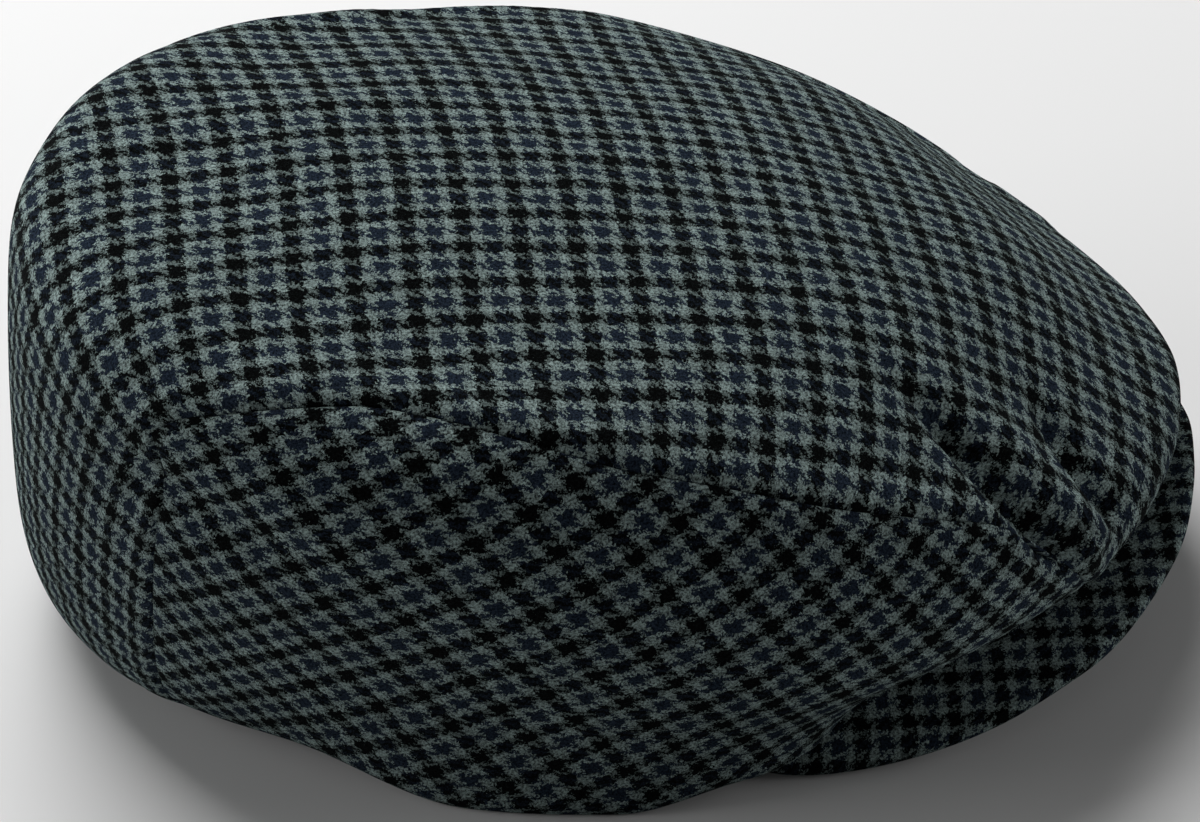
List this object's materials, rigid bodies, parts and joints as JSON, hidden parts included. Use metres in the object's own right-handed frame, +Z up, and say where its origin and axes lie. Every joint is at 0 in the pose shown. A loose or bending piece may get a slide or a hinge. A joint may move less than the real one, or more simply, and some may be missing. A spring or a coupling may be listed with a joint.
{
  "type": "flat cap",
  "caption": "Soft rounded flat cap with a tapered crown, a side panel at each side, a turned hem and a short curved cloth-covered peak.",
  "frame": {"origin": "centre of the cap's outline, on the surface it rests on", "axes": "+Z up, +Y towards the back of the cap, so the peak points along -Y; +X is the wearer's left"},
  "size_m": [0.2022, 0.2762, 0.1214],
  "materials": {
    "wool_check_top": "brushed matt wool, small dark check",
    "wool_check_right": "brushed matt wool, small dark check",
    "wool_check_left": "brushed matt wool, small dark check",
    "wool_check_peak": "brushed matt wool, small dark check"
  },
  "bodies": {
    "root": {"top_panel": "wool_check_top", "side_panel_right": "wool_check_right", "side_panel_left": "wool_check_left", "peak": "wool_check_peak"}
  },
  "joints": []
}
